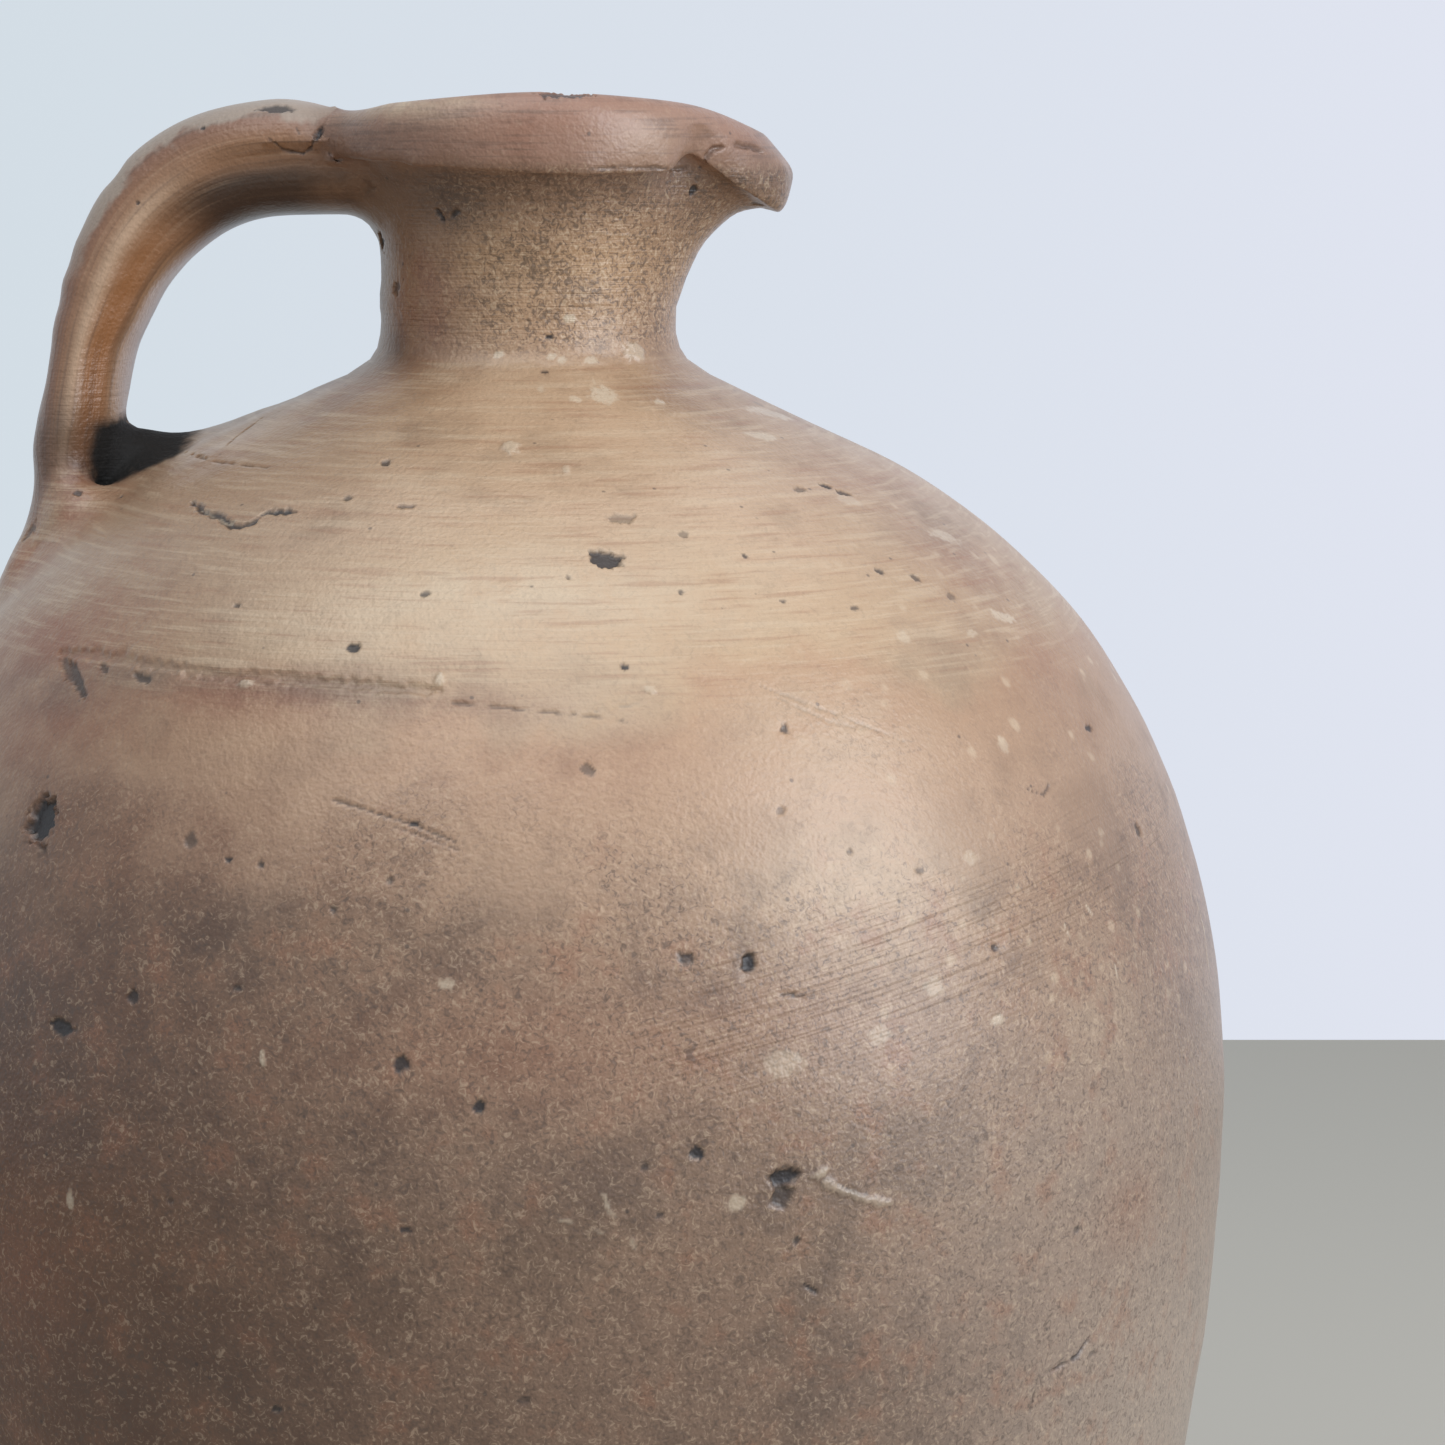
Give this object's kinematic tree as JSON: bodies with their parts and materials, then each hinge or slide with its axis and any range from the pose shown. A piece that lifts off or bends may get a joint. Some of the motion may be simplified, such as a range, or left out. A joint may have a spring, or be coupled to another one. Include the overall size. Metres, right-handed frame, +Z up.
{
  "type": "stoneware jug",
  "caption": "Hand-thrown unglazed stoneware oil jug with an egg-shaped body, a narrow neck, a pinched pouring beak and a strap handle.",
  "frame": {"origin": "centre of the foot, on the surface that the jug stands on", "axes": "+Z up along the axis that the jug was thrown on, +X towards the pouring beak, the handle towards -X"},
  "size_m": [0.2816, 0.2816, 0.3836],
  "materials": {
    "stoneware": "fired bare stoneware, rough tan and brown clay with a thin uneven salt sheen"
  },
  "bodies": {
    "root": {"jug": "stoneware"}
  },
  "joints": []
}
